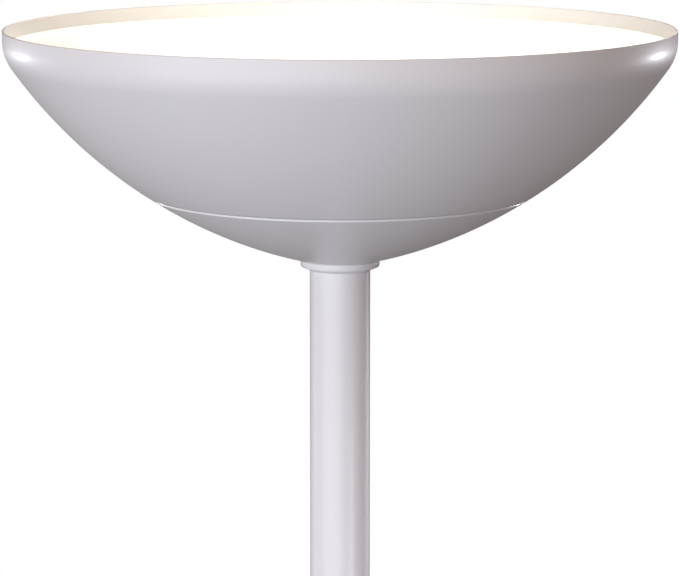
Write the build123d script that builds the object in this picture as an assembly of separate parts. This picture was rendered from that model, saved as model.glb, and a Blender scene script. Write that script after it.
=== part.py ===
from build123d import *
import math
import os

os.makedirs("parts", exist_ok=True)

# A torchiere floor lamp: a shallow spun bowl that lights upwards, on a three-section pole
# with a rotary dimmer in line, over a weighted round base.
# Millimetres. The origin is the centre of the base's underside on the floor, +Z is up and
# the pole lies on the Z axis. The dimmer knob faces -Y and the supply cord enters at +Y.

# Overall
lamp_height = 1780.0       # floor to the bowl's rim
bowl_diameter = 279.0
base_diameter = 260.0
base_height = 30.0         # floor to the base collar's seat
pole_diameter = 25.4

# Bowl and pan, spun steel
bowl_depth = 97.0          # rim to the seat of the neck collar
bowl_wall = 1.0
rim_band = 4.3             # straight band under the rim
shoulder_radius = 18.9
belly_radius = 205.0
seam_radius = 81.2         # where the bowl ends and the lower pan begins
seam_gap = 0.3
seam_step = 3.0            # width of the raised outer part of the bowl's flange
flange_width = 13.0
pan_lip = 0.9              # height of the pan's upright edge
pan_lip_step = 0.15        # how far that edge stands out from the pan's curve

# Diffuser and its seat
diffuser_depth = 6.0       # rim to the diffuser's upper face
diffuser_thickness = 2.5
diffuser_clearance = 0.5   # to the bowl's side, so that it drops in
gasket_thickness = 0.8
gasket_width = 7.0
gasket_margin = 0.8        # diffuser's edge to the gasket
ring_sheet = 1.2
ring_leg = 6.5             # leg of the seat ring that lies along the bowl

# Light engine
board_radius = 52.0
board_thickness = 1.6
board_screw_radius = 37.5
chip_size = 3.0
chip_height = 0.7
chip_rings = ((14.0, 8), (30.0, 16), (45.0, 24))
spreader_thickness = 2.5
spreader_clearance = 14.0  # spreader's edge to the bowl's inside
connector_size = (10.0, 6.0, 3.5)
wire_radius = 0.8
wire_pitch = 2.6
wire_offset = 12.0         # the pair's distance from the lamp's middle plane
wire_hole_radius = 3.0
wire_bend = 6.0

# Mounting plate, standoffs and driver
plate_thickness = 1.5
plate_lap = 8.0            # how far the plate rests on the bowl's flange
plate_screw_inset = 4.0
standoff_inset = 16.0      # plate's edge to the standoffs' centres
standoff_across = 8.0
driver_length = 70.0
driver_width = 36.0
driver_height = 18.0
driver_sheet = 1.0
driver_offset = 16.0       # lamp's middle to the driver's near side
driver_air = 4.0           # driver's lid to the heat spreader
driver_post = 3.5
post_inset = 3.0
driver_margin = 2.0
driver_screw_inset = 10.0
reservoir_radius = 5.0
transformer_size = (14.0, 18.0)
choke_radius = 6.0
film_size = (6.0, 14.0)

# Bracket that carries the head on the neck
bracket_sheet = 2.0
bracket_width = 18.0
bracket_half_span = 11.0
bracket_ear = 14.0

# Hollow threaded parts on the pole's axis
nipple_diameter = 10.0
nipple_bore = 7.0
nipple_grip = 16.0         # length that screws into a pole insert
nipple_stand = 1.0         # length that shows past its nut
thread_clearance = 0.05
hole_clearance = 0.3
nut_across = 15.0
nut_height = 4.0
washer_radius = 8.8
washer_thickness = 1.5
bushing_rim = 1.2
insert_length = 18.0
pole_wall = 1.2

# Collars at the neck and on the base
collar_step = 3.9          # how far a collar stands out from the pole
collar_height = 4.3
collar_edge = 2.3          # upright part of a collar's edge
collar_foot_step = 0.4     # how far its narrow end stands out from the pole
collar_round = 0.6

# Dimmer housing, in line with the pole
switch_height = 1162.0     # floor to the knob's axis
switch_length = 70.0
switch_diameter = 38.0
switch_wall = 3.0
switch_end = 6.0
switch_round = 4.0
boss_radius = 14.0
boss_stand = 0.8           # boss face past the housing's side
cover_half_width = 12.0
cover_half_height = 24.0
cover_thickness = 2.0
cover_ledge = 3.0
cover_clearance = 0.15
cover_post_size = 8.0
cover_screw_inset = 3.5

# Dimmer, its shaft and the knob
module_width = 20.0
module_depth = 18.0
module_height = 26.0
module_face = 12.0         # pole's axis to the module's front
module_socket = 5.0
shaft_diameter = 6.0
shaft_clearance = 0.05
shaft_flat = 1.2           # depth of the flat that drives the knob
shaft_grip = 10.0
shaft_end_gap = 0.4
neck_bush_radius = 4.5
bush_stand = 3.2           # bush past the boss face
bush_nut_across = 13.0
bush_nut_height = 2.0
knob_diameter = 20.0
knob_length = 14.0
knob_gap = 0.7
knob_recess_radius = 8.2
knob_recess_depth = 3.4
knob_round = 1.2
knob_flutes = 24
knob_flute_radius = 0.7
marker_size = (1.2, 6.0, 0.5)
marker_inset = 1.2
dimmer_travel = 280.0
dot_radii = (0.5, 0.9)     # off mark and full mark
dot_height = 0.3
dot_inset = 1.6

# Base
base_wall = 1.0
base_lift = 1.5            # floor to the cover's lower edge
base_shoulder = 6.0
base_band = 15.0           # floor to the start of the cover's shoulder
base_flat = 19.0           # radius of the level top under the collar
pad_thickness = 3.0
pad_inset = 12.0
weight_inset = 9.0
weight_thickness = 16.0
boss_inset = 1.0
recess_radius = 20.0
recess_depth = 14.0
pocket_width = 34.0
pocket_start = 52.0
pocket_depth = 11.0
channel_width = 9.0
channel_depth = 7.0
terminal_size = (30.0, 20.0, 8.0)
terminal_offset = 70.0
terminal_screw_pitch = 22.0
terminal_hole_pitch = 4.5
terminal_hole_radius = 1.6

# Cord entry
gland_bore = 7.5
gland_wall = 1.6
gland_flange_radius = 7.2
gland_flange = 2.2
gland_height = 9.5
gland_length = 9.0
gland_nut_radius = 7.6
gland_nut_length = 3.5
gland_nut_gap = 0.6

# Leads and screws
lead_radius = 2.2
lead_bend = 8.0
lead_clearance = 0.3
grommet_wall = 1.5
grommet_lip = 1.2
small_screw = 1.5          # thread radii
medium_screw = 2.0

BOTTOM = (Align.CENTER, Align.CENTER, Align.MIN)
TOP = (Align.CENTER, Align.CENTER, Align.MAX)


def save(shape, node):
    """Write one node's solids to its own file."""
    export_step(shape, f"parts/{node}.step")


def group(shapes):
    """Separate solids that share one node."""
    return Compound([solid for shape in shapes for solid in shape.solids()])


def rod(radius, low, high):
    """Round bar on the Z axis."""
    return Pos(0, 0, low) * Cylinder(radius, high - low, align=BOTTOM)


def tube(radius, bore, low, high):
    """Round tube on the Z axis."""
    return rod(radius, low, high) - rod(bore, low, high)


def block(x, y, z):
    """Box between two values on each axis."""
    size = (x[1] - x[0], y[1] - y[0], z[1] - z[0])
    return Pos(sum(x) / 2, sum(y) / 2, sum(z) / 2) * Box(*size)


def turned(section):
    """Solid of revolution from a half-section drawn as radius and height."""
    return revolve(Plane.XZ * section, Axis.Z)


def strip(radii, heights):
    """Rectangle in a half-section."""
    size = (radii[1] - radii[0], heights[1] - heights[0])
    return Pos(sum(radii) / 2, sum(heights) / 2) * Rectangle(*size)


def nut(across, bore_radius, low, height):
    """Hexagon nut on the Z axis."""
    hexagon = RegularPolygon(across / 2, 6, major_radius=False)
    return Pos(0, 0, low) * extrude(hexagon, height) - rod(bore_radius, low, low + height)


def pan_screw(thread_radius, length):
    """Pan-head screw with a cross recess: it seats at z = 0 and points down."""
    head_radius = 1.9 * thread_radius
    head_height = 1.3 * thread_radius
    head = Cylinder(head_radius, head_height, align=BOTTOM)
    head = fillet(head.edges().group_by(Axis.Z)[-1], head_height / 2)
    slot = Box(head_radius, thread_radius / 2, head_height, align=TOP)
    recess = slot + Rot(0, 0, 90) * slot
    shank = Cylinder(thread_radius, length, align=TOP)
    return head - Pos(0, 0, 1.5 * head_height) * recess + shank


def around(radius, count, start=0.0):
    """Places evenly spaced on a circle about the Z axis."""
    turn = 360.0 / count
    return [Rot(0, 0, start + turn * index) * Pos(radius, 0, 0) for index in range(count)]


def collar(seat, away):
    """Turned collar: its wide face is at the seat, and it narrows to the pole."""
    wide = pole_radius + collar_step
    narrow = pole_radius + collar_foot_step
    outline = Polyline(
        (axis_hole, seat),
        (wide, seat),
        (wide, seat + away * collar_edge),
        (narrow, seat + away * collar_height),
        (axis_hole, seat + away * collar_height),
        (axis_hole, seat),
    )
    section = make_face(outline)
    section = fillet(section.vertices().group_by(Axis.X)[-1], collar_round)
    return turned(section)


pole_radius = pole_diameter / 2
pole_bore_radius = pole_radius - pole_wall
nipple_radius = nipple_diameter / 2
nipple_bore_radius = nipple_bore / 2
thread_hole = nipple_radius + thread_clearance
axis_hole = nipple_radius + hole_clearance
collar_radius = pole_radius + collar_step
shaft_radius = shaft_diameter / 2

# ---------------------------------------------------------------- bowl curve
# The bowl's side is a straight band, a shoulder arc and one long belly arc down to the
# collar. The belly arc touches the shoulder arc from outside it and ends at the collar's edge.

bowl_radius = bowl_diameter / 2
neck_z = lamp_height - bowl_depth
shoulder_centre = Vector(bowl_radius - shoulder_radius, lamp_height - rim_band)
span = Vector(collar_radius, neck_z) - shoulder_centre
reach = belly_radius - shoulder_radius
along = (reach**2 - belly_radius**2 + span.length**2) / (2 * span.length)
across = math.sqrt(reach**2 - along**2)
belly_centre = shoulder_centre + span.normalized() * along
belly_centre += Vector(span.Y, -span.X).normalized() * across
to_shoulder = shoulder_centre - belly_centre
to_neck = Vector(collar_radius, neck_z) - belly_centre
shoulder_angle = math.degrees(math.atan2(to_shoulder.Y, to_shoulder.X))
neck_angle = math.degrees(math.atan2(to_neck.Y, to_neck.X))


def bowl_space(inset):
    """Half-section of all that lies inside the bowl's outer face moved in by an inset."""
    side = bowl_radius - inset
    shoulder = CenterArc(shoulder_centre, shoulder_radius - inset, 0, shoulder_angle)
    belly_turn = neck_angle - shoulder_angle
    belly = CenterArc(belly_centre, belly_radius - inset, shoulder_angle, belly_turn)
    foot = belly @ 1
    sides = [
        Line((0, lamp_height), (side, lamp_height)),
        Line((side, lamp_height), (side, lamp_height - rim_band)),
        shoulder,
        belly,
        Line(foot, (0, foot.Y)),
        Line((0, foot.Y), (0, lamp_height)),
    ]
    return make_face(sides)


def radius_at(height, inset):
    """Radius of the bowl's outer face moved in by an inset, at a height."""
    shoulder_end = shoulder_centre.Y + (shoulder_radius - inset) * to_shoulder.normalized().Y
    centre, radius = shoulder_centre, shoulder_radius - inset
    if height < shoulder_end:
        centre, radius = belly_centre, belly_radius - inset
    return centre.X + math.sqrt(radius**2 - (height - centre.Y) ** 2)


def bowl_skin(outer, inner, low, high):
    """Half-section of a layer that follows the bowl's curve between two heights."""
    layer = bowl_space(outer) - bowl_space(inner)
    return layer & strip((0, bowl_radius), (low, high))


belly_drop = math.sqrt(belly_radius**2 - (seam_radius - belly_centre.X) ** 2)
seam_z = belly_centre.Y - belly_drop
pan_top = seam_z - seam_gap
pan_curve_top = pan_top - pan_lip
pan_floor = belly_centre.Y + (belly_radius - bowl_wall) * to_neck.normalized().Y
flange_bore = seam_radius - flange_width

# ---------------------------------------------------------------- bowl and pan

step_radius = seam_radius - seam_step
bowl_section = bowl_skin(0, bowl_wall, seam_z, lamp_height)
bowl_section += strip((step_radius - bowl_wall, seam_radius), (seam_z, seam_z + bowl_wall))
bowl_section += strip((flange_bore, step_radius), (pan_top, pan_top + bowl_wall))
bowl = turned(bowl_section)
rim_edges = bowl.edges().filter_by(GeomType.CIRCLE).group_by(Axis.Z)[-1]
bowl = fillet(rim_edges, 0.4 * bowl_wall)

plate_radius = flange_bore + plate_lap
plate_low = pan_top + bowl_wall
plate_top = plate_low + plate_thickness
plate_screw_places = around(plate_radius - plate_screw_inset, 4, 20)
for place in plate_screw_places:
    bowl -= place * rod(medium_screw, pan_top, plate_low)
save(bowl, "bowl_shell")

lip_radius = radius_at(pan_curve_top, 0) + pan_lip_step
pan_section = bowl_skin(0, bowl_wall, neck_z, pan_curve_top)
pan_section += strip((lip_radius - bowl_wall, lip_radius), (pan_curve_top, pan_top))
pan_section += strip((plate_radius, lip_radius), (pan_top - bowl_wall, pan_top))
save(turned(pan_section) - rod(axis_hole, neck_z, pan_floor), "lower_pan")

# ---------------------------------------------------------------- diffuser and its seat

diffuser_radius = bowl_radius - bowl_wall - diffuser_clearance
diffuser_low = lamp_height - diffuser_depth - diffuser_thickness
diffuser = rod(diffuser_radius, diffuser_low, diffuser_low + diffuser_thickness)
save(fillet(diffuser.edges(), 0.2 * diffuser_thickness), "diffuser")

gasket_radius = diffuser_radius - gasket_margin
gasket_low = diffuser_low - gasket_thickness
gasket_bore = gasket_radius - gasket_width
save(tube(gasket_radius, gasket_bore, gasket_low, diffuser_low), "diffuser_gasket")

ring_section = bowl_skin(bowl_wall, bowl_wall + ring_sheet, gasket_low - ring_leg, gasket_low)
ring_edge = radius_at(gasket_low, bowl_wall)
ring_ledge = strip((gasket_bore, ring_edge), (gasket_low - ring_sheet, gasket_low))
ring_section += ring_ledge & bowl_space(bowl_wall)
save(turned(ring_section), "diffuser_ring")

# ---------------------------------------------------------------- mounting plate and bracket

bracket_screw_reach = bracket_half_span + bracket_ear / 2
grommet_hole = lead_radius + lead_clearance + grommet_wall
plate = rod(plate_radius, plate_low, plate_top) - rod(grommet_hole, plate_low, plate_top)
standoff_places = around(plate_radius - standoff_inset, 4, 45)
driver_screw_x = driver_length / 2 - driver_screw_inset
driver_y = -(driver_offset + driver_width / 2)
driver_screw_places = [Pos(side * driver_screw_x, driver_y, 0) for side in (-1, 1)]
bracket_screw_places = [Pos(side * bracket_screw_reach, 0, 0) for side in (-1, 1)]
for place in plate_screw_places + standoff_places + bracket_screw_places:
    plate -= place * rod(medium_screw, plate_low, plate_top)
for place in driver_screw_places:
    plate -= place * rod(small_screw, plate_low, plate_top)
save(plate, "mounting_plate")

flange_screw = Pos(0, 0, plate_top) * pan_screw(medium_screw, plate_thickness + bowl_wall)
save(group([place * flange_screw for place in plate_screw_places]), "flange_screws")

grommet_bore = lead_radius + lead_clearance
grommet = tube(grommet_hole, grommet_bore, plate_low - grommet_lip, plate_top + grommet_lip)
for lip_low in (plate_low - grommet_lip, plate_top):
    grommet += tube(grommet_hole + grommet_lip, grommet_bore, lip_low, lip_low + grommet_lip)
save(grommet, "plate_grommet")

foot_top = pan_floor + bracket_sheet
half_width = (-bracket_width / 2, bracket_width / 2)
bracket = block((-bracket_half_span, bracket_half_span), half_width, (pan_floor, foot_top))
for side in (-1, 1):
    arm = sorted((side * bracket_half_span, side * (bracket_half_span - bracket_sheet)))
    ear = sorted((side * (bracket_half_span - bracket_sheet), side * (bracket_half_span + bracket_ear)))
    bracket += block(arm, half_width, (pan_floor, plate_low))
    bracket += block(ear, half_width, (plate_low - bracket_sheet, plate_low))
bracket -= rod(axis_hole, pan_floor, foot_top)
for place in bracket_screw_places:
    bracket -= place * rod(medium_screw, plate_low - bracket_sheet, plate_low)
save(bracket, "head_bracket")

bracket_screw = Rot(180, 0, 0) * pan_screw(medium_screw, bracket_sheet + plate_thickness + 2)
bracket_seat = Pos(0, 0, plate_low - bracket_sheet)
save(group([place * bracket_seat * bracket_screw for place in bracket_screw_places]), "bracket_screws")

# ---------------------------------------------------------------- neck

pole_top = neck_z - collar_height
save(collar(neck_z, -1), "neck_collar")

washer_top = foot_top + washer_thickness
save(tube(washer_radius, axis_hole, foot_top, washer_top), "neck_washer")
save(nut(nut_across, thread_hole, washer_top, nut_height), "neck_nut")

neck_end = washer_top + nut_height + nipple_stand
save(tube(nipple_radius, nipple_bore_radius, pole_top - nipple_grip, neck_end), "neck_nipple")

bushing = tube(nipple_radius + bushing_rim, grommet_bore, neck_end, neck_end + bushing_rim)
bushing += tube(nipple_bore_radius, grommet_bore, neck_end - nipple_stand - nut_height, neck_end)
save(bushing, "nipple_bushing")

# ---------------------------------------------------------------- heat spreader and light source

standoff_length = driver_height + driver_air
spreader_low = plate_top + standoff_length
board_low = spreader_low + spreader_thickness
board_top = board_low + board_thickness
board_screw_places = around(board_screw_radius, 4, 45)
wire_hole_place = Pos(wire_offset, board_screw_radius, 0)

spreader_radius = radius_at(spreader_low, bowl_wall) - spreader_clearance
spreader = rod(spreader_radius, spreader_low, board_low)
board = rod(board_radius, board_low, board_top)
for place in board_screw_places:
    spreader -= place * rod(small_screw, spreader_low, board_low)
    board -= place * rod(small_screw, board_low, board_top)
for place in standoff_places:
    spreader -= place * rod(medium_screw, spreader_low, board_low)
spreader -= wire_hole_place * rod(wire_hole_radius, spreader_low, board_low)
board -= wire_hole_place * rod(wire_hole_radius, board_low, board_top)
save(spreader, "heat_spreader")
save(board, "led_board")

chip = Pos(0, 0, board_top) * Box(chip_size, chip_size, chip_height, align=BOTTOM)
chips = [place * chip for radius, count in chip_rings for place in around(radius, count)]
save(group(chips), "led_chips")

board_screw = Pos(0, 0, board_top) * pan_screw(small_screw, board_thickness + spreader_thickness)
save(group([place * board_screw for place in board_screw_places]), "led_board_screws")
save(wire_hole_place * Pos(0, 0, board_top) * Box(*connector_size, align=BOTTOM), "led_connector")

standoff = nut(standoff_across, medium_screw, plate_top, standoff_length)
save(group([place * standoff for place in standoff_places]), "standoffs")
standoff_screw = pan_screw(medium_screw, spreader_thickness + standoff_across)
lower_screw = Pos(0, 0, plate_low) * Rot(180, 0, 0) * standoff_screw
upper_screw = Pos(0, 0, board_low) * standoff_screw
standoff_screws = [place * screw for place in standoff_places for screw in (lower_screw, upper_screw)]
save(group(standoff_screws), "standoff_screws")

# ---------------------------------------------------------------- driver

lead_entry_z = plate_top + driver_height / 2
wire_entry_z = plate_top + 0.7 * driver_height
driver_x = (-driver_length / 2, driver_length / 2)
driver_span = (-driver_offset - driver_width, -driver_offset)
lid_low = plate_top + driver_height - driver_sheet
inner_x = (driver_x[0] + driver_sheet, driver_x[1] - driver_sheet)
inner_y = (driver_span[0] + driver_sheet, driver_span[1] - driver_sheet)
case = block(driver_x, driver_span, (plate_top, lid_low))
case -= block(inner_x, inner_y, (plate_top + driver_sheet, lid_low))
wall_place = Pos(0, -driver_offset, 0)
wire_pair = [wire_offset + side * wire_pitch / 2 for side in (-1, 1)]
lead_hole = Cylinder(grommet_bore, 4 * driver_sheet, rotation=(90, 0, 0))
wire_hole = Cylinder(wire_radius + lead_clearance, 4 * driver_sheet, rotation=(90, 0, 0))
case -= Pos(0, -driver_offset, lead_entry_z) * lead_hole
for x in wire_pair:
    case -= Pos(x, -driver_offset, wire_entry_z) * wire_hole
for place in driver_screw_places:
    case -= place * rod(small_screw, plate_top, plate_top + driver_sheet)
save(case, "driver_case")

lid = block(driver_x, driver_span, (lid_low, lid_low + driver_sheet))
lid += block(
    (inner_x[0] + lead_clearance, inner_x[1] - lead_clearance),
    (inner_y[0] + lead_clearance, inner_y[1] - lead_clearance),
    (lid_low - driver_sheet, lid_low),
)
save(lid, "driver_lid")

case_screw = pan_screw(small_screw, driver_sheet + plate_thickness)
case_screw = Pos(0, 0, plate_top + driver_sheet) * case_screw
save(group([place * case_screw for place in driver_screw_places]), "driver_screws")

pcb_low = plate_top + driver_sheet + driver_post
pcb_top = pcb_low + board_thickness
pcb_x = (inner_x[0] + driver_margin, inner_x[1] - driver_margin)
pcb_y = (inner_y[0] + driver_margin, inner_y[1] - 3 * driver_margin)
pcb = block(pcb_x, pcb_y, (pcb_low, pcb_top))
for x in (pcb_x[0] + post_inset, pcb_x[1] - post_inset):
    for y in (pcb_y[0] + post_inset, pcb_y[1] - post_inset):
        pcb += Pos(x, y, 0) * rod(small_screw, plate_top + driver_sheet, pcb_low)
save(pcb, "driver_board")

# Reservoir capacitor, transformer, choke and film capacitor in a row along the board.
part_height = lid_low - driver_sheet - pcb_top - lead_clearance
components = [
    Cylinder(reservoir_radius, part_height, align=BOTTOM),
    Box(*transformer_size, part_height, align=BOTTOM),
    Cylinder(choke_radius, 0.8 * part_height, align=BOTTOM),
    Box(*film_size, 0.9 * part_height, align=BOTTOM),
]
row_step = (pcb_x[1] - pcb_x[0]) / len(components)
row_start = pcb_x[0] + row_step / 2
row_y = sum(pcb_y) / 2
row_places = [Pos(row_start + index * row_step, row_y, pcb_top) for index in range(len(components))]
save(group([place * piece for place, piece in zip(row_places, components)]), "driver_components")

wires = []
for x in wire_pair:
    wire_path = FilletPolyline(
        (x, -driver_offset - driver_sheet, wire_entry_z),
        (x, board_screw_radius, wire_entry_z),
        (x, board_screw_radius, board_top),
        radius=min(wire_bend, (board_top - wire_entry_z) / 2),
    )
    wire_start = Plane(wire_path @ 0, z_dir=wire_path % 0)
    wires.append(sweep(wire_start * Circle(wire_radius), path=wire_path))
save(group(wires), "led_wires")

# ---------------------------------------------------------------- pole

switch_low = switch_height - switch_length / 2
switch_top = switch_height + switch_length / 2
pole_foot = base_height + collar_height
pole_joint = (pole_foot + switch_low) / 2
save(tube(pole_radius, pole_bore_radius, pole_foot, pole_joint), "pole_lower")
save(tube(pole_radius, pole_bore_radius, pole_joint, switch_low), "pole_middle")
save(tube(pole_radius, pole_bore_radius, switch_top, pole_top), "pole_upper")

insert = tube(pole_bore_radius, thread_hole, 0, insert_length)
inserts = []
for foot, top in ((pole_foot, pole_joint), (pole_joint, switch_low), (switch_top, pole_top)):
    inserts += [Pos(0, 0, foot) * insert, Pos(0, 0, top - insert_length) * insert]
save(group(inserts), "pole_end_inserts")

stud = tube(nipple_radius, nipple_bore_radius, -nipple_grip, nipple_grip)
stud_heights = (pole_joint, switch_low, switch_top)
save(group([Pos(0, 0, height) * stud for height in stud_heights]), "joint_studs")

# ---------------------------------------------------------------- dimmer housing
# front turns +Z to -Y, so a piece on the knob's axis is drawn along its own Z axis.

front = Pos(0, 0, switch_height) * Rot(90, 0, 0)
switch_radius = switch_diameter / 2
boss_face = switch_radius + boss_stand
cavity_low = switch_low + switch_end
cavity_top = switch_top - switch_end

housing = rod(switch_radius, switch_low, switch_top)
end_edges = housing.edges().filter_by(GeomType.CIRCLE)
housing = fillet(end_edges, switch_round)
housing -= rod(switch_radius - switch_wall, cavity_low, cavity_top)
housing += front * rod(boss_radius, module_face, boss_face)
housing -= front * rod(neck_bush_radius + thread_clearance, module_face, boss_face)
housing -= rod(thread_hole, switch_low, cavity_low) + rod(thread_hole, cavity_top, switch_top)

cover_seat = switch_radius - cover_thickness
back = (0, switch_diameter)
cover_x = (-cover_half_width, cover_half_width)
cover_z = (switch_height - cover_half_height, switch_height + cover_half_height)
ledge_x = (cover_x[0] + cover_ledge, cover_x[1] - cover_ledge)
ledge_z = (cover_z[0] + cover_ledge, cover_z[1] - cover_ledge)
cover_screw_reach = cover_half_height - cover_screw_inset
cover_screw_heights = [switch_height + side * cover_screw_reach for side in (-1, 1)]


def post_space(height):
    """Space of a post that takes one of the cover's screws."""
    half = cover_post_size / 2
    depth = (cover_seat - cover_post_size, cover_seat)
    return block((-half, half), depth, (height - cover_screw_inset, height + cover_screw_inset))


for height in cover_screw_heights:
    housing += post_space(height) & rod(cover_seat, switch_low, switch_top)
window = block(cover_x, back, cover_z) - rod(cover_seat, switch_low, switch_top)
opening = block(ledge_x, back, ledge_z)
for height in cover_screw_heights:
    opening -= post_space(height)
housing -= window + opening
backward = Rot(-90, 0, 0)
cover_screw = pan_screw(small_screw, cover_thickness + cover_post_size - 2)
head_sink = 0.6 * cover_thickness
for height in cover_screw_heights:
    housing -= Pos(0, 0, height) * backward * rod(small_screw, cover_seat - cover_post_size, cover_seat)
save(housing, "switch_body")

cover_layer = rod(switch_radius, switch_low, switch_top) - rod(cover_seat, switch_low, switch_top)
cover = cover_layer & block(
    (cover_x[0] + cover_clearance, cover_x[1] - cover_clearance),
    back,
    (cover_z[0] + cover_clearance, cover_z[1] - cover_clearance),
)
screw_seat = switch_radius - head_sink
for height in cover_screw_heights:
    cover -= Pos(0, 0, height) * backward * rod(small_screw, cover_seat - 1, switch_radius)
    cover -= Pos(0, 0, height) * backward * rod(2.1 * small_screw, screw_seat, switch_radius + 1)
save(cover, "switch_cover")
cover_screws = [Pos(0, screw_seat, height) * backward * cover_screw for height in cover_screw_heights]
save(group(cover_screws), "switch_cover_screws")

locknut = nut(nut_across, thread_hole, 0, nut_height)
locknut_lows = (cavity_low, cavity_top - nut_height)
save(group([Pos(0, 0, low) * locknut for low in locknut_lows]), "switch_locknuts")

# ---------------------------------------------------------------- dimmer

module = block(
    (-module_width / 2, module_width / 2),
    (-module_face, module_depth - module_face),
    (switch_height - module_height / 2, switch_height + module_height / 2),
)
shaft_root = module_face - module_socket
module -= front * rod(shaft_radius + shaft_clearance, shaft_root, module_face)
save(module, "dimmer_module")

bush_end = boss_face + bush_stand
bush = tube(neck_bush_radius, shaft_radius + shaft_clearance, module_face, bush_end)
save(front * bush, "dimmer_bushing")
bush_nut = nut(bush_nut_across, neck_bush_radius + thread_clearance, boss_face, bush_nut_height)
save(front * bush_nut, "dimmer_nut")

knob_low = boss_face + knob_gap
knob_top = knob_low + knob_length
grip_low = knob_low + knob_recess_depth
grip_top = grip_low + shaft_grip - shaft_end_gap


def shaft_form(radius, low, high):
    """Round rod with a flat along the part that drives the knob."""
    flat = block((radius - shaft_flat, radius), (-radius, radius), (grip_low, high))
    return rod(radius, low, high) - flat


shaft = shaft_form(shaft_radius, shaft_root + shaft_end_gap, grip_top - shaft_end_gap)
save(front * shaft, "dimmer_shaft")

knob = rod(knob_diameter / 2, knob_low, knob_top)
knob = fillet(knob.edges().group_by(Axis.Z)[-1], knob_round)
flute = rod(knob_flute_radius, knob_low, knob_top)
for place in around(knob_diameter / 2 + 0.3 * knob_flute_radius, knob_flutes):
    knob -= place * flute
knob -= rod(knob_recess_radius, knob_low, grip_low)
knob -= shaft_form(shaft_radius, grip_low, grip_top)

# The pointer shows full brightness at rest: half the travel clockwise from the top.
full_angle = 90.0 - dimmer_travel / 2
off_angle = 90.0 + dimmer_travel / 2
marker_reach = knob_diameter / 2 - marker_inset - marker_size[1] / 2
marker_turn = Rot(0, 0, full_angle - 90) * Pos(0, marker_reach, knob_top)
marker = marker_turn * Box(*marker_size, align=TOP)
save(front * (knob - marker), "dimmer_knob")
save(front * marker, "knob_marker")

dots = []
for angle, radius in zip((off_angle, full_angle), dot_radii):
    dot = rod(radius, boss_face, boss_face + dot_height)
    dots.append(front * Rot(0, 0, angle) * Pos(boss_radius - dot_inset, 0, 0) * dot)
save(group(dots), "travel_marks")

# ---------------------------------------------------------------- base

base_radius = base_diameter / 2


def base_space(inset):
    """Half-section of all that lies inside the base cover's outer face moved in by an inset."""
    side = base_radius - inset
    shoulder_foot = base_radius - base_shoulder
    crown = base_height - inset
    shoulder = CenterArc((shoulder_foot, base_band), base_shoulder - inset, 0, 90)
    start = shoulder @ 1
    rise = crown - start.Y
    run = start.X - base_flat
    dome_radius = (run**2 + rise**2) / (2 * rise)
    dome_turn = math.degrees(math.asin(run / dome_radius))
    dome = CenterArc((base_flat, crown - dome_radius), dome_radius, 90 - dome_turn, dome_turn)
    sides = [
        Line((0, base_lift), (side, base_lift)),
        Line((side, base_lift), (side, base_band)),
        shoulder,
        dome,
        Line((base_flat, crown), (0, crown)),
        Line((0, crown), (0, base_lift)),
    ]
    return make_face(sides)


gland_radius = gland_bore / 2 + gland_wall
gland_place = Pos(0, 0, gland_height) * Rot(-90, 0, 0)
cover_section = base_space(0) - base_space(base_wall)
base_cover = turned(cover_section & strip((axis_hole, base_radius), (base_lift, base_height)))
base_cover -= gland_place * rod(gland_radius, 0.8 * base_radius, base_radius)
save(base_cover, "base_cover")
save(collar(base_height, 1), "base_collar")

pad_top = pad_thickness
weight_top = pad_top + weight_thickness
weight_radius = base_radius - weight_inset
boss_top = base_height - base_wall
weight = rod(weight_radius, pad_top, weight_top)
weight = fillet(weight.edges().filter_by(GeomType.CIRCLE).group_by(Axis.Z)[-1], 1.5)
weight += rod(base_flat - boss_inset, weight_top, boss_top)
weight -= rod(axis_hole, pad_top, boss_top)
recess_top = pad_top + recess_depth
weight -= rod(recess_radius, pad_top, recess_top)
pocket_top = pad_top + pocket_depth
pocket_x = (-pocket_width / 2, pocket_width / 2)
weight -= block(pocket_x, (pocket_start, base_radius), (pad_top, pocket_top))
channel_x = (-channel_width / 2, channel_width / 2)
weight -= block(channel_x, (0, pocket_start), (pad_top, pad_top + channel_depth))
terminal_screw_places = [Pos(side * terminal_screw_pitch / 2, terminal_offset, 0) for side in (-1, 1)]
terminal_low = pocket_top - terminal_size[2]
terminal_screw_length = terminal_size[2] + 0.6 * (weight_top - pocket_top)
for place in terminal_screw_places:
    weight -= place * rod(small_screw, pocket_top, terminal_low + terminal_screw_length)
save(weight, "base_weight")

pad = rod(base_radius - pad_inset, 0, pad_top)
save(fillet(pad.edges().group_by(Axis.Z)[0], 0.3 * pad_thickness), "base_pad")

base_washer_low = recess_top - washer_thickness
base_nut_low = base_washer_low - nut_height
base_nipple_low = base_nut_low - nipple_stand
save(tube(washer_radius, axis_hole, base_washer_low, recess_top), "base_washer")
save(nut(nut_across, thread_hole, base_nut_low, nut_height), "base_nut")
base_nipple = tube(nipple_radius, nipple_bore_radius, base_nipple_low, pole_foot + nipple_grip)
save(base_nipple, "base_nipple")

terminal_middle = terminal_low + terminal_size[2] / 2
terminal = Pos(0, terminal_offset, terminal_low) * Box(*terminal_size, align=BOTTOM)
for place in terminal_screw_places:
    terminal -= place * rod(small_screw, terminal_low, pocket_top)
for side in (-1, 0, 1):
    entry = Rot(90, 0, 0) * Cylinder(terminal_hole_radius, terminal_size[1])
    terminal -= Pos(side * terminal_hole_pitch, terminal_offset, terminal_middle) * entry
save(terminal, "terminal_block")
terminal_screw = Rot(180, 0, 0) * pan_screw(small_screw, terminal_screw_length)
terminal_screw = Pos(0, 0, terminal_low) * terminal_screw
save(group([place * terminal_screw for place in terminal_screw_places]), "terminal_screws")

# ---------------------------------------------------------------- cord entry

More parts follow.
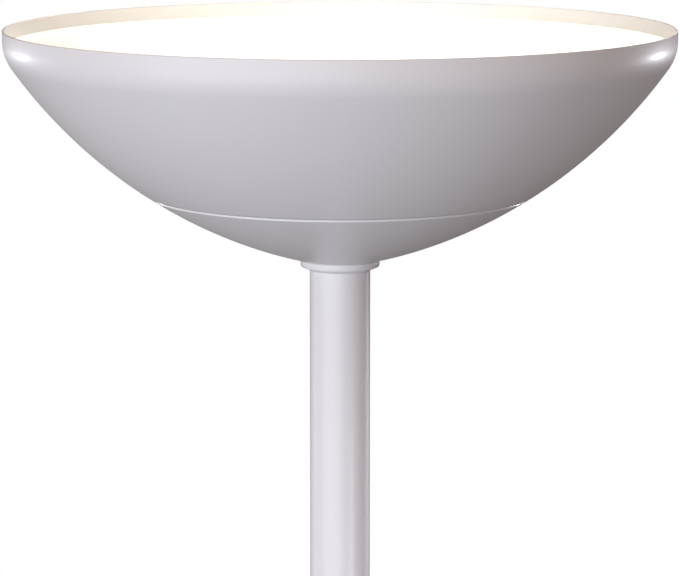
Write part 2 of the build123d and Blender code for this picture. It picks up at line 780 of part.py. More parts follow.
gland_end = base_radius + gland_flange
gland = gland_place * rod(gland_radius, gland_end - gland_length, gland_end)
flange = gland_place * rod(gland_flange_radius, 0.9 * base_radius, gland_end)
gland += flange - rod(base_radius, 0, base_height)
gland -= gland_place * rod(gland_bore / 2, gland_end - gland_length, gland_end)
save(gland, "cord_gland")

gland_nut_top = base_radius - base_wall - gland_nut_gap
gland_nut_low = gland_nut_top - gland_nut_length
gland_nut = tube(gland_nut_radius, gland_radius, gland_nut_low, gland_nut_top)
save(gland_place * gland_nut, "gland_nut")

# ---------------------------------------------------------------- leads inside the lamp


def lead(points):
    """Round two-core lead along straight runs joined by one bend."""
    path = FilletPolyline(*points, radius=lead_bend)
    start = Plane(path @ 0, z_dir=path % 0)
    return sweep(start * Circle(lead_radius), path=path)


module_low = switch_height - module_height / 2
supply_z = pad_top + lead_radius + lead_clearance
supply_points = [
    (0, terminal_offset - terminal_size[1] / 2, supply_z),
    (0, 0, supply_z),
    (0, 0, module_low),
]
save(lead(supply_points), "supply_lead")

lamp_points = [
    (0, 0, module_low + module_height),
    (0, 0, lead_entry_z),
    (0, -driver_offset - driver_sheet, lead_entry_z),
]
save(lead(lamp_points), "lamp_lead")
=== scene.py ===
import math
import bmesh
import bpy
from mathutils import Matrix, Vector


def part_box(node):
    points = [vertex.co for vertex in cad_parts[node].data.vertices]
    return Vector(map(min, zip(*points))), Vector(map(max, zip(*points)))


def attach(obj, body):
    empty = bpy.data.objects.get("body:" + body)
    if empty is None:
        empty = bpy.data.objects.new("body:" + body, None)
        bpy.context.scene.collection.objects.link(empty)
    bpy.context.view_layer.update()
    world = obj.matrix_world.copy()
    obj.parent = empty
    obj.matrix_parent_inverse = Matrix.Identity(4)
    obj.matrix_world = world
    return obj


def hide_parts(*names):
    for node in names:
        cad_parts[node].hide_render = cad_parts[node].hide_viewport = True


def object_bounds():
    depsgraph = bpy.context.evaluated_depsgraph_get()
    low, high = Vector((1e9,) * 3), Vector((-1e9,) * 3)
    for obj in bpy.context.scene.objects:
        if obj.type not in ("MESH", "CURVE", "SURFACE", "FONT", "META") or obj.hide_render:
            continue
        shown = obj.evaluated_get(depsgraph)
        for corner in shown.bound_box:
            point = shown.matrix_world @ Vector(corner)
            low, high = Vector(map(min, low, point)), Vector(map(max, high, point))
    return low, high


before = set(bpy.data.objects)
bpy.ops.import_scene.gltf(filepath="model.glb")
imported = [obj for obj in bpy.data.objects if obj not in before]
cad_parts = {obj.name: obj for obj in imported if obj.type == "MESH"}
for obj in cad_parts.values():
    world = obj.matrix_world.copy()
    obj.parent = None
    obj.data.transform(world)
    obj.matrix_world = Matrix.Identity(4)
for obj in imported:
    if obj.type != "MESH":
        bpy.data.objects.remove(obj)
cad_low, cad_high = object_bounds()
scene = bpy.context.scene
scene.view_settings.view_transform = "Standard"


# ---------------------------------------------------------------- camera
# The lamp's head is seen from a little above its rim, level with a standing person's eyes,
# through a long lens, with the pole running out of the bottom of the frame.

camera_distance = 1.350
camera_above_rim = 0.1163
camera_pitch = math.radians(9.49)
camera_yaw = math.radians(0.009)

camera_data = bpy.data.cameras.new("eye_level_camera")
camera_data.sensor_width = 36.0
camera_data.lens = 172.8
camera = bpy.data.objects.new("eye_level_camera", camera_data)
camera.location = (0.0, -camera_distance, cad_high.z + camera_above_rim)
camera.rotation_euler = (math.pi / 2 - camera_pitch, 0.0, camera_yaw)
scene.collection.objects.link(camera)
scene.camera = camera


# ---------------------------------------------------------------- studio
# A white room. One broad softbox in front on the left is the key light. Two narrow spots from
# behind light the ends of the bowl's band, three wide ones wrap the pole below the head, and
# three weak softboxes fill the bowl's inside, the base and the back.

white_light = (1.0, 1.0, 1.0)
daylight = (0.87, 0.91, 1.0)
warm_light = (1.0, 0.93, 0.77)


def hang(data, place, aim):
    """Hang a light that faces a point and isn't seen itself."""
    light = bpy.data.objects.new(data.name, data)
    light.location = place
    light.rotation_euler = (Vector(aim) - Vector(place)).to_track_quat("-Z", "Y").to_euler()
    light.visible_camera = False
    scene.collection.objects.link(light)


def softbox(name, place, aim, size, power, colour, spread):
    """A rectangular area light. Its spread is the angle that it shines into, in degrees."""
    data = bpy.data.lights.new(name, "AREA")
    data.shape = "RECTANGLE"
    data.size, data.size_y = size
    data.energy = power
    data.color = colour
    data.spread = math.radians(spread)
    hang(data, place, aim)


def spot(name, place, aim, cone, power, lens_radius):
    """A spotlight of daylight with a firm edge to its cone."""
    data = bpy.data.lights.new(name, "SPOT")
    data.spot_size = math.radians(cone)
    data.spot_blend = 0.08
    data.shadow_soft_size = lens_radius
    data.energy = power
    data.color = daylight
    hang(data, place, aim)


rim_to_middle = 0.05
head = Vector((0.0, 0.0, cad_high.z - rim_to_middle))
softbox("key_softbox", head + Vector((-1.32, -2.25, -0.40)), head, (3.6, 2.6), 75.0, daylight, 180.0)

band_end = Vector((0.16, 0.0, 0.03))
band_start = Vector((-0.16, 0.0, 0.03))
spot("right_edge", head + Vector((1.42, 1.33, -0.26)), head + band_end, 5.5, 28.0, 0.05)
spot("left_edge", head + Vector((-1.45, 1.40, -0.30)), head + band_start, 5.5, 20.0, 0.05)

upper_pole = Vector((0.0, 0.0, 1.225))
spot("pole_right", (0.55, -0.55, 1.45), upper_pole, 60.0, 5.0, 0.1)
spot("pole_right_edge", (0.62, 0.48, 1.45), upper_pole, 60.0, 6.0, 0.2)
spot("pole_left", (-0.75, 0.25, 1.45), upper_pole, 60.0, 4.0, 0.2)

far_wall = Vector((0.0, 0.139, 1.777))
above_bowl = head + Vector((0.0, -0.55, 0.60))
fill_size = (0.8, 0.8)
softbox("inner_glow", above_bowl, far_wall, (0.1, 0.1), 0.12, warm_light, 27.0)
softbox("base_fill", (-0.5, -1.3, 1.1), (0, 0, 0), fill_size, 2.5, white_light, 100.0)
softbox("back_fill", (0.7, 2.2, 2.9), (0, 0, 1.0), fill_size, 7.0, white_light, 85.0)

world = bpy.data.worlds.new("white_room")
scene.world = world
world.use_nodes = True
room = world.node_tree
room.nodes.clear()
direction = room.nodes.new("ShaderNodeTexCoord")
upward = room.nodes.new("ShaderNodeSeparateXYZ")
brighter_above = room.nodes.new("ShaderNodeMapRange")
for socket, value in (("From Min", -0.6), ("From Max", 0.6), ("To Min", 0.09), ("To Max", 0.40)):
    brighter_above.inputs[socket].default_value = value
room_glow = room.nodes.new("ShaderNodeBackground")
room_glow.inputs["Color"].default_value = (1.0, 0.77, 0.71, 1.0)
backdrop = room.nodes.new("ShaderNodeBackground")
backdrop.inputs["Color"].default_value = (1.0, 1.0, 1.0, 1.0)
seen_directly = room.nodes.new("ShaderNodeLightPath")
room_mix = room.nodes.new("ShaderNodeMixShader")
room_output = room.nodes.new("ShaderNodeOutputWorld")
for source, target in (
    (direction.outputs["Generated"], upward.inputs["Vector"]),
    (upward.outputs["Z"], brighter_above.inputs["Value"]),
    (brighter_above.outputs["Result"], room_glow.inputs["Strength"]),
    (seen_directly.outputs["Is Camera Ray"], room_mix.inputs["Fac"]),
    (room_glow.outputs["Background"], room_mix.inputs[1]),
    (backdrop.outputs["Background"], room_mix.inputs[2]),
    (room_mix.outputs["Shader"], room_output.inputs["Surface"]),
):
    room.links.new(source, target)


# ---------------------------------------------------------------- floor
# A plain pale studio floor, a smooth matt board that fades into the white backdrop around it.
# It takes the base's shadow, and throws no light back onto the lamp.


class Level:
    """A number that varies over a surface. Arithmetic on it adds Math nodes."""

    def __init__(self, socket):
        self.socket = socket

    def combine(self, operation, first, second):
        tree = self.socket.id_data
        node = tree.nodes.new("ShaderNodeMath")
        node.operation = operation
        for index, value in enumerate((first, second)):
            if isinstance(value, Level):
                tree.links.new(value.socket, node.inputs[index])
            else:
                node.inputs[index].default_value = value
        return Level(node.outputs[0])

    def __add__(self, other):
        return self.combine("ADD", self, other)

    def __radd__(self, other):
        return self.combine("ADD", other, self)

    def __sub__(self, other):
        return self.combine("SUBTRACT", self, other)

    def __rsub__(self, other):
        return self.combine("SUBTRACT", other, self)

    def __mul__(self, other):
        return self.combine("MULTIPLY", self, other)

    def __rmul__(self, other):
        return self.combine("MULTIPLY", other, self)

    def __truediv__(self, other):
        return self.combine("DIVIDE", self, other)

    def __rtruediv__(self, other):
        return self.combine("DIVIDE", other, self)


class Finish:
    """A procedural material. Constants go on its shader's own sockets; node() adds a node."""

    def __init__(self, name, colour, roughness, constants=None):
        self.material = bpy.data.materials.new(name)
        self.material.use_nodes = True
        self.tree = self.material.node_tree
        self.shader = self.tree.nodes["Principled BSDF"]
        self.shader.inputs["Base Color"].default_value = (*colour, 1.0)
        self.shader.inputs["Roughness"].default_value = roughness
        for socket, value in (constants or {}).items():
            self.shader.inputs[socket].default_value = value

    def node(self, kind, settings, sockets, output=0):
        """Add a node: its settings first, then the values or links of its sockets."""
        node = self.tree.nodes.new(kind)
        for key, value in settings.items():
            if key == "stops":
                ramp = node.color_ramp.elements
                while len(ramp) < len(value):
                    ramp.new(1.0)
                for stop, (position, colour) in zip(ramp, value):
                    stop.position = position
                    stop.color = colour
            else:
                setattr(node, key, value)
        for key, value in sockets.items():
            if isinstance(value, Level):
                self.tree.links.new(value.socket, node.inputs[key])
            else:
                node.inputs[key].default_value = value
        return Level(node.outputs[output])

    def feed(self, socket, value):
        """Link a varying value to one of the shader's sockets."""
        self.tree.links.new(value.socket, self.shader.inputs[socket])

    def place(self):
        """Object coordinates, in metres."""
        return self.node("ShaderNodeTexCoord", {}, {}, "Object")

    def noise(self, scale, detail=2.0, at=None):
        """Fractal noise between about 0 and 1, with features of 1/scale metres."""
        sockets = {"Vector": at or self.place(), "Scale": scale, "Detail": detail}
        return self.node("ShaderNodeTexNoise", {}, sockets, "Fac")

    def blend(self, factor, first, second):
        """Mix two colours, each a constant or a link."""
        pair = [c if isinstance(c, Level) else (*c, 1.0) for c in (first, second)]
        sockets = {0: factor, 6: pair[0], 7: pair[1]}
        return self.node("ShaderNodeMix", {"data_type": "RGBA"}, sockets, 2)

    def emboss(self, height, strength, depth):
        """Bump the surface by a height between 0 and 1, depth metres deep."""
        sockets = {"Height": height, "Strength": strength, "Distance": depth}
        self.feed("Normal", self.node("ShaderNodeBump", {}, sockets, "Normal"))


floor_radius = 1.4
floor_gap = 0.0004
dark_board = (0.59, 0.61, 0.615)
pale_board = (0.63, 0.65, 0.655)

floor_mesh = bmesh.new()
bmesh.ops.create_circle(floor_mesh, cap_ends=True, segments=96, radius=floor_radius)
bmesh.ops.translate(floor_mesh, verts=floor_mesh.verts, vec=(0, 0, cad_low.z - floor_gap))
floor_data = bpy.data.meshes.new("studio_floor")
floor_mesh.to_mesh(floor_data)
floor_mesh.free()
floor = bpy.data.objects.new("studio_floor", floor_data)
floor.visible_diffuse = False
floor.visible_glossy = False
scene.collection.objects.link(floor)

board = Finish("pale_floor", pale_board, 0.7)
reach = board.node("ShaderNodeVectorMath", {"operation": "LENGTH"}, {0: board.place()}, "Value")
fade_stops = [(0.25, (1, 1, 1, 1)), (0.85, (0, 0, 0, 1))]
fade = board.node("ShaderNodeValToRGB", {"stops": fade_stops}, {"Fac": reach / floor_radius})
board.feed("Alpha", fade)
board.feed("Base Color", board.blend(board.noise(3.0), dark_board, pale_board))
floor_data.materials.append(board.material)


# ---------------------------------------------------------------- foot pad
# A round pad of closed-cell black foam, die cut and glued under the weight, that keeps the
# iron off the floor. Its cells show as a fine pitted grain.


def dress(finish, *nodes):
    """Give CAD nodes a finish."""
    for name in nodes:
        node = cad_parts[name]
        node.data.materials.clear()
        node.data.materials.append(finish.material)


foam_black = Finish("foot_pad_foam", (0.030, 0.030, 0.034), 0.86)
cell_field = {"Vector": foam_black.place(), "Scale": 1300.0}
cells = foam_black.node("ShaderNodeTexVoronoi", {}, cell_field, "Distance")
foam_black.feed("Base Color", foam_black.blend(cells, (0.018, 0.018, 0.02), (0.05, 0.05, 0.055)))
foam_black.feed("Roughness", 0.95 - cells * 0.2)
foam_black.emboss(cells, 0.6, 0.0003)
dress(foam_black, "base_pad")


# ---------------------------------------------------------------- base weight
# A grey iron casting that holds the lamp upright, with a boss for the pole's nipple and a
# pocket and channel underneath for the wiring. Sand-cast skin under black lacquer.

iron = Finish("cast_iron_lacquer", (0.05, 0.05, 0.055), 0.55)
sand = iron.noise(900.0, 4.0)
iron.feed("Base Color", iron.blend(sand, (0.028, 0.028, 0.03), (0.085, 0.082, 0.08)))
iron.feed("Roughness", 0.42 + sand * 0.3)
iron.emboss(sand, 0.7, 0.0006)
dress(iron, "base_weight")


# ---------------------------------------------------------------- zinc-plated hardware
# Nipples, nuts, washers, screws, inserts and pressed brackets of mild steel, electroplated
# with bright zinc: a cool grey with cloudy patches and fine drawing marks.

zinc = Finish("bright_zinc", (0.62, 0.63, 0.65), 0.3, {"Metallic": 1.0})
cloud = zinc.noise(160.0, 3.0)
zinc.feed("Base Color", zinc.blend(cloud, (0.50, 0.51, 0.53), (0.72, 0.72, 0.70)))
zinc.feed("Roughness", 0.22 + cloud * 0.25)
zinc.emboss(zinc.noise(2600.0), 0.25, 0.00005)
dress(
    zinc,
    "base_nipple", "base_nut", "base_washer", "terminal_screws", "pole_end_inserts",
    "joint_studs", "switch_locknuts", "dimmer_shaft", "dimmer_nut", "neck_nipple",
    "neck_nut", "neck_washer", "head_bracket", "bracket_screws", "mounting_plate",
    "flange_screws", "standoff_screws", "led_board_screws", "diffuser_ring",
    "driver_case", "driver_lid", "driver_screws",
)


# ---------------------------------------------------------------- nylon fittings
# Injection-moulded natural nylon: the terminal block, the grommet and bushing that guard
# the lead, the gland's inner nut and the connector on the light board.

nylon = Finish("natural_nylon", (0.82, 0.81, 0.76), 0.4, {"Subsurface Weight": 0.05})
flow = nylon.noise(90.0, 2.0)
nylon.feed("Base Color", nylon.blend(flow, (0.76, 0.75, 0.69), (0.86, 0.85, 0.80)))
nylon.feed("Roughness", 0.34 + flow * 0.14)
nylon.emboss(nylon.noise(1500.0), 0.15, 0.00005)
dress(nylon, "terminal_block", "plate_grommet", "nipple_bushing", "led_connector", "gland_nut")


# ---------------------------------------------------------------- base cover
# The visible base, spun from 1 mm steel sheet: a short upright band, a rounded shoulder and
# a low dome up to the collar. Powder coated satin off-white like the rest of the lamp.

crease = math.radians(35)


def lathe(name, start, moves, steps=192):
    """Turn a closed outline about the Z axis. A move is a point (radius, height) to draw to,
    or an arc (centre radius, centre height, anticlockwise degrees, pieces)."""
    mesh = bmesh.new()
    first = pen = mesh.verts.new((start[0], 0.0, start[1]))
    for move in moves:
        if len(move) == 2:
            tip = mesh.verts.new((move[0], 0.0, move[1]))
            mesh.edges.new((pen, tip))
            pen = tip
            continue
        radius, height, degrees, pieces = move
        swept = bmesh.ops.spin(
            mesh, geom=[pen], cent=(radius, 0.0, height), axis=(0, -1, 0),
            angle=math.radians(degrees), steps=pieces,
        )
        pen = [part for part in swept["geom_last"] if isinstance(part, bmesh.types.BMVert)][0]
    mesh.edges.new((pen, first))
    bmesh.ops.remove_doubles(mesh, verts=mesh.verts, dist=1e-7)
    outline = mesh.verts[:] + mesh.edges[:]
    bmesh.ops.spin(
        mesh, geom=outline, cent=(0, 0, 0), axis=(0, 0, 1),
        angle=2 * math.pi, steps=steps, use_merge=True,
    )
    return finished(name, mesh)


def finished(name, mesh):
    """Close a mesh, point its faces outwards, shade it smooth between its sharp edges."""
    bmesh.ops.remove_doubles(mesh, verts=mesh.verts, dist=1e-7)
    bmesh.ops.recalc_face_normals(mesh, faces=mesh.faces)
    data = bpy.data.meshes.new(name)
    mesh.to_mesh(data)
    mesh.free()
    data.shade_smooth()
    data.set_sharp_from_angle(angle=crease)
    piece = bpy.data.objects.new(name, data)
    scene.collection.objects.link(piece)
    return piece


def bored(piece, start, end, radius):
    """Drill a round hole through a piece, from one point to another."""
    drill = bmesh.new()
    turn = (end - start).to_track_quat("Z", "Y").to_matrix().to_4x4()
    bmesh.ops.create_cone(
        drill, cap_ends=True, segments=64, radius1=radius, radius2=radius,
        depth=(end - start).length, matrix=Matrix.Translation((start + end) / 2) @ turn,
    )
    bit = finished("drill", drill)
    hole = piece.modifiers.new("hole", "BOOLEAN")
    hole.operation = "DIFFERENCE"
    hole.solver = "EXACT"
    hole.object = bit
    drilled = piece.evaluated_get(bpy.context.evaluated_depsgraph_get())
    piece.data = bpy.data.meshes.new_from_object(drilled)
    piece.data.shade_smooth()
    piece.data.set_sharp_from_angle(angle=crease)
    piece.modifiers.clear()
    bpy.data.objects.remove(bit)


def fit(piece, finish, slot, body, *nodes):
    """Finish a piece and put it in the place of the CAD nodes that it stands for."""
    piece.data.materials.clear()
    piece.data.materials.append(finish.material)
    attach(piece, body)
    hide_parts(*nodes)


def satin_paint(name, tone):
    """Baked powder coat: a faint orange peel, a little uneven in gloss and tone."""
    gloss = {"Specular IOR Level": 0.35, "Coat Weight": 0.2, "Coat Roughness": 0.2}
    paint = Finish(name, tone, 0.42, gloss)
    drift = paint.noise(14.0, 2.0)
    peel = paint.noise(700.0, 2.0)
    darker = [0.975 * part for part in tone]
    paint.feed("Base Color", paint.blend(drift, darker, tone))
    paint.feed("Roughness", 0.37 + drift * 0.05 + peel * 0.06)
    paint.emboss(peel, 0.10, 0.00012)
    return paint


paint_tone = (0.800, 0.795, 0.792)
off_white_paint = satin_paint("satin_off_white", paint_tone)

cover_low, cover_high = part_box("base_cover")
cover_radius = cover_high.x
cover_wall = 0.001
cover_shoulder = 0.006
cover_band = 0.015
cover_flat = 0.019
cover_bore = 0.0053
cover_edge = 0.0003

run = cover_radius - cover_shoulder - cover_flat
rise = cover_high.z - cover_band - cover_shoulder
dome_radius = (run**2 + rise**2) / (2 * rise)
dome_turn = math.degrees(math.asin(run / dome_radius))
base_cover = lathe(
    "base_cover_spun",
    (cover_radius - cover_wall, cover_low.z + cover_edge),
    [
        (cover_radius - cover_wall + cover_edge, cover_low.z + cover_edge, 90, 4),
        (cover_radius - cover_edge, cover_low.z),
        (cover_radius - cover_edge, cover_low.z + cover_edge, 90, 4),
        (cover_radius, cover_band),
        (cover_radius - cover_shoulder, cover_band, 90, 16),
        (cover_radius - cover_shoulder, cover_band + cover_shoulder),
        (cover_flat, cover_high.z - dome_radius, dome_turn, 24),
        (cover_bore, cover_high.z),
        (cover_bore, cover_high.z - cover_wall),
        (cover_flat, cover_high.z - cover_wall),
        (cover_flat, cover_high.z - cover_wall - dome_radius, -dome_turn, 24),
        (cover_radius - cover_shoulder, cover_band + cover_shoulder - cover_wall),
        (cover_radius - cover_shoulder, cover_band, -90, 12),
    ],
)
gland_low, gland_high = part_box("cord_gland")
gland_hole = 0.0054
gland_height = (gland_low.z + gland_high.z) / 2
inside = Vector((0.0, gland_low.y, gland_height))
outside = Vector((0.0, gland_high.y, gland_height))
bored(base_cover, inside, outside, gland_hole)
fit(base_cover, off_white_paint, "white_paint", "lamp", "base_cover")


# ---------------------------------------------------------------- collars
# Two turned steel collars, one on the base and one under the head. Each has a short upright
# edge and narrows to the pole, and hides the end of a tube. Painted with the lamp.

collar_edge = 0.0023
collar_round = 0.0006
collar_foot = 0.0131
collar_bore = 0.0053


def collar(name, node, away):
    """A collar whose wide face is at its seat; away is +1 if it narrows upwards."""
    low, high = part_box(node)
    seat, end = (low.z, high.z) if away > 0 else (high.z, low.z)
    wide = high.x
    piece = lathe(
        name,
        (collar_bore, seat),
        [
            (wide - collar_round, seat),
            (wide - collar_round, seat + away * collar_round, 90 * away, 6),
            (wide, seat + away * collar_edge),
            (wide - collar_round / 2, seat + away * (collar_edge + collar_round)),
            (collar_foot + collar_round / 3, end - away * collar_round / 3),
            (collar_foot, end),
            (collar_bore, end),
        ],
        steps=128,
    )
    fit(piece, off_white_paint, "white_paint", "lamp", node)


collar("base_collar_turned", "base_collar", 1)


# ---------------------------------------------------------------- cord gland
# A moulded nylon bush with a flange, pressed through the back of the base, where the supply
# cord enters. Its rim is shaped to the round of the cover.

moulded_crease = math.radians(30)


def refined(name, node):
    """A copy of a CAD node's mesh, merged and shaded smooth between its sharp edges."""
    mesh = bmesh.new()
    mesh.from_mesh(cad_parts[node].data)
    bmesh.ops.remove_doubles(mesh, verts=mesh.verts, dist=1e-6)
    data = bpy.data.meshes.new(name)
    mesh.to_mesh(data)
    mesh.free()
    data.shade_smooth()
    data.set_sharp_from_angle(angle=moulded_crease)
    piece = bpy.data.objects.new(name, data)
    scene.collection.objects.link(piece)
    return piece


fit(refined("cord_gland_moulded", "cord_gland"), nylon, "nylon", "lamp", "cord_gland")


# ---------------------------------------------------------------- pole
# Three lengths of 25.4 mm steel tube, cut square, deburred and painted. They screw together
# end to end on hollow studs, so each joint shows only as a hairline.

tube_wall = 0.0012
tube_deburr = 0.0002


def pole_tube(name, node):
    """A length of tube with its outer edges deburred."""
    low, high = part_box(node)
    radius = high.x
    bore = radius - tube_wall
    piece = lathe(
        name,
        (bore, low.z),
        [
            (radius - tube_deburr, low.z),
            (radius - tube_deburr, low.z + tube_deburr, 90, 4),
            (radius, high.z - tube_deburr),
            (radius - tube_deburr, high.z - tube_deburr, 90, 4),
            (bore, high.z),
        ],
        steps=128,
    )
    fit(piece, off_white_paint, "white_paint", "lamp", node)


for section in ("lower", "middle", "upper"):
    pole_tube(f"pole_{section}_tube", f"pole_{section}")


# ---------------------------------------------------------------- leads
# Two round two-core leads with white PVC sheaths: one from the terminal block up to the
# dimmer, one from the dimmer up to the driver, and a red pair in silicone to the light board.

sheath = Finish("white_pvc_sheath", (0.80, 0.80, 0.78), 0.42)
sheath_mark = sheath.noise(60.0)
sheath.feed("Base Color", sheath.blend(sheath_mark, (0.75, 0.75, 0.73), (0.84, 0.84, 0.82)))
sheath.feed("Roughness", 0.36 + sheath_mark * 0.12)
sheath.emboss(sheath.noise(500.0), 0.1, 0.0001)
dress(sheath, "supply_lead", "lamp_lead")

silicone = Finish("red_silicone", (0.50, 0.03, 0.025), 0.5)
silicone_mark = silicone.noise(400.0)
silicone.feed("Base Color", silicone.blend(silicone_mark, (0.42, 0.02, 0.02), (0.56, 0.04, 0.03)))
silicone.feed("Roughness", 0.42 + silicone_mark * 0.16)
dress(silicone, "led_wires")


# ---------------------------------------------------------------- dimmer housing
# A capsule of ABS in line with the pole, with a round boss at the front for the knob and a
# screwed cover at the back. Moulded off-white with a fine spark-eroded texture.

spark = Finish("spark_textured_abs", (0.79, 0.787, 0.78), 0.46)
spark_grain = spark.noise(2200.0, 3.0)
spark_drift = spark.noise(30.0)
spark.feed("Base Color", spark.blend(spark_drift, (0.775, 0.772, 0.765), (0.80, 0.797, 0.79)))
spark.feed("Roughness", 0.40 + spark_grain * 0.16)
spark.emboss(spark_grain, 0.3, 0.00012)


def true_round(piece, radius):
    """Shade a piece's round wall as the true cylinder about the pole that it stands for."""
    data = piece.data
    normals = [corner.vector.copy() for corner in data.corner_normals]
    for face in data.polygons:
        if face.normal.dot(face.center.to_2d().to_3d().normalized()) < 0.9:
            continue
        for corner in face.loop_indices:
            outward = data.vertices[data.loops[corner].vertex_index].co.to_2d().to_3d()
            if abs(outward.length - radius) < 1e-5:
                normals[corner] = outward.normalized()
    data.normals_split_custom_set(normals)
    return piece


housing_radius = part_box("switch_body")[1].x
housing = true_round(refined("dimmer_housing", "switch_body"), housing_radius)
fit(housing, spark, "white_plastic", "lamp", "switch_body")
back_cover = true_round(refined("dimmer_back_cover", "switch_cover"), housing_radius)
fit(back_cover, spark, "white_plastic", "lamp", "switch_cover")
cover_screws = refined("back_cover_screws", "switch_cover_screws")
fit(cover_screws, zinc, "zinc_steel", "lamp", "switch_cover_screws")


# ---------------------------------------------------------------- dimmer and knob
# A potted dimmer module with a brass bush through the boss, and a fluted ABS knob on its
# steel shaft. A dark inlaid line on the knob points to two dots, small for off, large for full.

potting = Finish("black_potting", (0.03, 0.03, 0.032), 0.45)
potting_grain = potting.noise(800.0, 3.0)
potting.feed("Base Color", potting.blend(potting_grain, (0.02, 0.02, 0.022), (0.045, 0.045, 0.048)))
potting.feed("Roughness", 0.38 + potting_grain * 0.2)
dress(potting, "dimmer_module", "driver_components")

brass = Finish("turned_brass", (0.72, 0.52, 0.24), 0.25, {"Metallic": 1.0})
brass_tone = brass.noise(200.0)
brass.feed("Base Color", brass.blend(brass_tone, (0.64, 0.45, 0.19), (0.78, 0.58, 0.28)))
brass.feed("Roughness", 0.2 + brass_tone * 0.15)
dress(brass, "dimmer_bushing")

fit(refined("knob_fluted", "dimmer_knob"), spark, "white_plastic", "knob", "dimmer_knob")

inlay = Finish("charcoal_inlay", (0.045, 0.046, 0.05), 0.5)
inlay_grain = inlay.noise(1800.0)
inlay.feed("Base Color", inlay.blend(inlay_grain, (0.035, 0.036, 0.04), (0.055, 0.056, 0.06)))
inlay.feed("Roughness", 0.44 + inlay_grain * 0.12)
fit(refined("knob_pointer", "knob_marker"), inlay, "dark_mark", "knob", "knob_marker")
fit(refined("dimmer_dots", "travel_marks"), inlay, "dark_mark", "lamp", "travel_marks")


# ---------------------------------------------------------------- neck collar
# The second turned collar, upside down under the head: its wide face bears on the bottom of
# the pan and its narrow end sits on the pole. The hollow neck nipple passes through it.

collar("neck_collar_turned", "neck_collar", -1)


# ---------------------------------------------------------------- light source
# Small white light-emitting chips with yellow phosphor on an aluminium-cored board, screwed
# to a turned aluminium disc that spreads the heat, on hexagonal aluminium standoffs.

aluminium = Finish("mill_aluminium", (0.72, 0.73, 0.74), 0.32, {"Metallic": 1.0})
grain_stretch = {"Vector": aluminium.place(), "Scale": (1.0, 1.0, 60.0)}
stretched = aluminium.node("ShaderNodeMapping", {}, grain_stretch, "Vector")
rolled = aluminium.noise(120.0, 3.0, stretched)
aluminium.feed("Base Color", aluminium.blend(rolled, (0.64, 0.65, 0.66), (0.78, 0.79, 0.80)))
aluminium.feed("Roughness", 0.26 + rolled * 0.2)
dress(aluminium, "heat_spreader", "standoffs")

white_mask = Finish("white_solder_mask", (0.84, 0.85, 0.84), 0.34)
mask_grain = white_mask.noise(500.0)
white_mask.feed("Base Color", white_mask.blend(mask_grain, (0.80, 0.81, 0.80), (0.86, 0.87, 0.86)))
white_mask.feed("Roughness", 0.3 + mask_grain * 0.1)
dress(white_mask, "led_board")

phosphor = Finish("phosphor_gel", (0.90, 0.72, 0.16), 0.3)
gel = phosphor.noise(1500.0)
phosphor.feed("Base Color", phosphor.blend(gel, (0.86, 0.66, 0.12), (0.94, 0.78, 0.22)))
dress(phosphor, "led_chips")

green_mask = Finish("green_solder_mask", (0.02, 0.16, 0.06), 0.3)
track = green_mask.noise(350.0)
green_mask.feed("Base Color", green_mask.blend(track, (0.015, 0.12, 0.045), (0.03, 0.2, 0.08)))
dress(green_mask, "driver_board")


# ---------------------------------------------------------------- bowl curve
# The bowl and the pan below it share one curve: an upright band, a shoulder arc and one long
# belly arc that meets the collar's edge.

bowl_low, bowl_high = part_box("bowl_shell")
pan_low, pan_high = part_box("lower_pan")
collar_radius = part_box("neck_collar")[1].x
bowl_radius = bowl_high.x
rim_height = bowl_high.z
sheet = 0.001
rim_band = 0.0043
shoulder_radius = 0.0189
belly_radius = 0.205

shoulder_centre = Vector((bowl_radius - shoulder_radius, rim_height - rim_band))
neck_point = Vector((collar_radius, pan_low.z))
span = neck_point - shoulder_centre
inner_reach = belly_radius - shoulder_radius
along = (inner_reach**2 - belly_radius**2 + span.length**2) / (2 * span.length)
across = math.sqrt(inner_reach**2 - along**2)
span.normalize()
belly_centre = shoulder_centre + span * along + Vector((span.y, -span.x)) * across


def bearing(point):
    """Direction from the belly arc's centre to a point, in degrees."""
    offset = point - belly_centre
    return math.degrees(math.atan2(offset.y, offset.x))


def on_belly(height, inset):
    """Point of the belly arc moved in by an inset, at a height."""
    drop = height - belly_centre.y
    return Vector((belly_centre.x + math.sqrt((belly_radius - inset) ** 2 - drop**2), height))


shoulder_angle = bearing(shoulder_centre)
neck_angle = bearing(neck_point)


# ---------------------------------------------------------------- lower pan
# The bottom of the head, a separate spun dish with an upright lip that stands a hair outside
# the curve and leaves a fine shadow line under the bowl. The neck nut clamps it.

lip_height = 0.0009
lip_round = 0.00015
lip_radius = pan_high.x
pan_top = pan_high.z
flange_bore = 0.0762
pan_bore = 0.0053

curve_top = on_belly(pan_top - lip_height, 0.0)
inner_top = on_belly(pan_top - lip_height, sheet)
inner_turn = bearing(inner_top) - neck_angle
floor_turn = math.radians(neck_angle)
to_floor = Vector((math.cos(floor_turn), math.sin(floor_turn)))
inner_floor = belly_centre + to_floor * (belly_radius - sheet)
lower_pan = lathe(
    "lower_pan_spun",
    (pan_bore, pan_low.z),
    [
        (collar_radius, pan_low.z),
        (*belly_centre, bearing(curve_top) - neck_angle, 48),
        (lip_radius - lip_round, curve_top.y),
        (lip_radius - lip_round, curve_top.y + lip_round, 90, 3),
        (lip_radius, pan_top - lip_round),
        (lip_radius - lip_round, pan_top - lip_round, 90, 3),
        (flange_bore, pan_top),
        (flange_bore, pan_top - sheet),
        (lip_radius - sheet, pan_top - sheet),
        tuple(inner_top),
        (*belly_centre, -inner_turn, 48),
        (pan_bore, inner_floor.y),
    ],
    steps=256,
)
fit(lower_pan, off_white_paint, "white_paint", "lamp", "lower_pan")


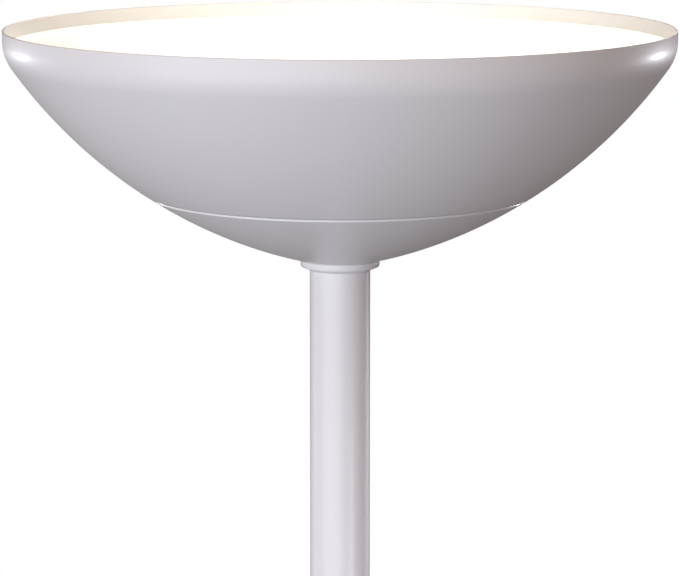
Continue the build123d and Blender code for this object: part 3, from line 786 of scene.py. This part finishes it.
# ---------------------------------------------------------------- diffuser
# An opal acrylic disc on a foam strip and a steel seat ring, a little below the rim. Lit
# from below, it is blinding white over the light board and creamier towards its edge.

strip_foam = Finish("white_foam_strip", (0.80, 0.80, 0.77), 0.8)
strip_cells = strip_foam.noise(1200.0, 3.0)
strip_foam.feed("Base Color", strip_foam.blend(strip_cells, (0.74, 0.74, 0.71), (0.84, 0.84, 0.81)))
strip_foam.emboss(strip_cells, 0.5, 0.0002)
dress(strip_foam, "diffuser_gasket")

disc_low, disc_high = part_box("diffuser")
disc_round = 0.0005
disc_radius = disc_high.x
opal_disc = lathe(
    "diffuser_disc",
    (0.0, disc_low.z),
    [
        (disc_radius - disc_round, disc_low.z),
        (disc_radius - disc_round, disc_low.z + disc_round, 90, 4),
        (disc_radius, disc_high.z - disc_round),
        (disc_radius - disc_round, disc_high.z - disc_round, 90, 4),
        (0.0, disc_high.z),
    ],
    steps=256,
)
opal = Finish("lit_opal_acrylic", (0.90, 0.88, 0.84), 0.3, {"Emission Strength": 1.8})
flattened = {0: opal.place(), 1: (1.0, 1.0, 0.0)}
from_middle = opal.node("ShaderNodeVectorMath", {"operation": "MULTIPLY"}, flattened, "Vector")
disc_reach = opal.node("ShaderNodeVectorMath", {"operation": "LENGTH"}, {0: from_middle}, "Value")
glow_stops = [
    (0.0, (1.0, 0.98, 0.93, 1.0)),
    (0.6, (0.50, 0.485, 0.42, 1.0)),
    (0.85, (0.34, 0.33, 0.27, 1.0)),
]
glow = opal.node("ShaderNodeValToRGB", {"stops": glow_stops}, {"Fac": disc_reach / disc_radius}, "Color")
opal.feed("Emission Color", glow)
opal.feed("Roughness", 0.28 + opal.noise(300.0) * 0.06)
fit(opal_disc, opal, "opal_acrylic", "lamp", "diffuser")


# ---------------------------------------------------------------- bowl
# The shallow bowl, spun from 1 mm steel. Its rim is trimmed and rounded over, and its bottom
# steps in to a flange that carries the mounting plate.

rim_round = 0.0004
flange_step = 0.0003
step_width = 0.003
seam_round = 0.0002
bowl_bore = 0.0682

seam_height = pan_top + flange_step
seam_point = on_belly(seam_height, 0.0)
seam_inner = on_belly(seam_height + sheet, sheet)
step_radius = seam_point.x - step_width
bowl = lathe(
    "bowl_spun",
    (step_radius, seam_height),
    [
        (seam_point.x - seam_round, seam_height),
        tuple(on_belly(seam_height + seam_round, 0.0)),
        (*belly_centre, shoulder_angle - bearing(on_belly(seam_height + seam_round, 0.0)), 72),
        (*shoulder_centre, -shoulder_angle, 20),
        (bowl_radius, rim_height - rim_round),
        (bowl_radius - rim_round, rim_height - rim_round, 90, 6),
        (bowl_radius - sheet + rim_round, rim_height),
        (bowl_radius - sheet + rim_round, rim_height - rim_round, 90, 6),
        (bowl_radius - sheet, rim_height - rim_band),
        (*shoulder_centre, shoulder_angle, 20),
        (*belly_centre, bearing(seam_inner) - shoulder_angle, 72),
        (step_radius - sheet, seam_height + sheet),
        (step_radius - sheet, pan_top + sheet),
        (bowl_bore, pan_top + sheet),
        (bowl_bore, pan_top),
        (step_radius, pan_top),
    ],
    steps=256,
)
fit(bowl, off_white_paint, "white_paint", "lamp", "bowl_shell")
